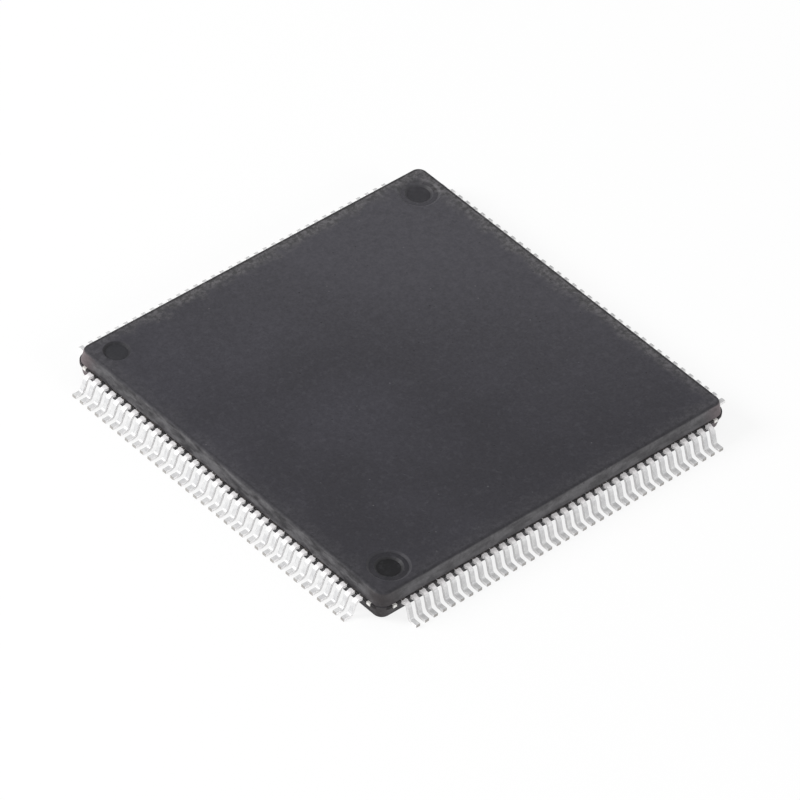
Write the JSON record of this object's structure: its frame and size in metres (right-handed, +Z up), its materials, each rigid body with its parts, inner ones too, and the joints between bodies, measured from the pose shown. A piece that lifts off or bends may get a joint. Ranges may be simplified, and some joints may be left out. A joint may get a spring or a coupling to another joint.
{
  "type": "quad flat pack chip",
  "caption": "Square flat integrated circuit package with a thin moulded body, rows of gull-wing leads on all four sides and round moulding marks in three corners.",
  "frame": {"origin": "on the board's surface, under the middle of the body", "axes": "+Z up through the body; lead 1 is at the back (+Y) end of the left (-X) side, and the lead count goes on along the front, right and back sides"},
  "size_m": [0.022, 0.022, 0.0015],
  "materials": {
    "moulding": "matt, finely pitted",
    "tinned_lead": "matt tin plate",
    "bare_frame": "satin",
    "glue": "matt",
    "silicon": "polished",
    "bond_wire": "bright"
  },
  "bodies": {
    "root": {"body": "moulding", "left_leads": "tinned_lead", "front_leads": "tinned_lead", "right_leads": "tinned_lead", "back_leads": "tinned_lead", "die_pad": "bare_frame", "die_glue": "glue", "die": "silicon", "left_wires": "bond_wire", "front_wires": "bond_wire", "right_wires": "bond_wire", "back_wires": "bond_wire"}
  },
  "joints": []
}
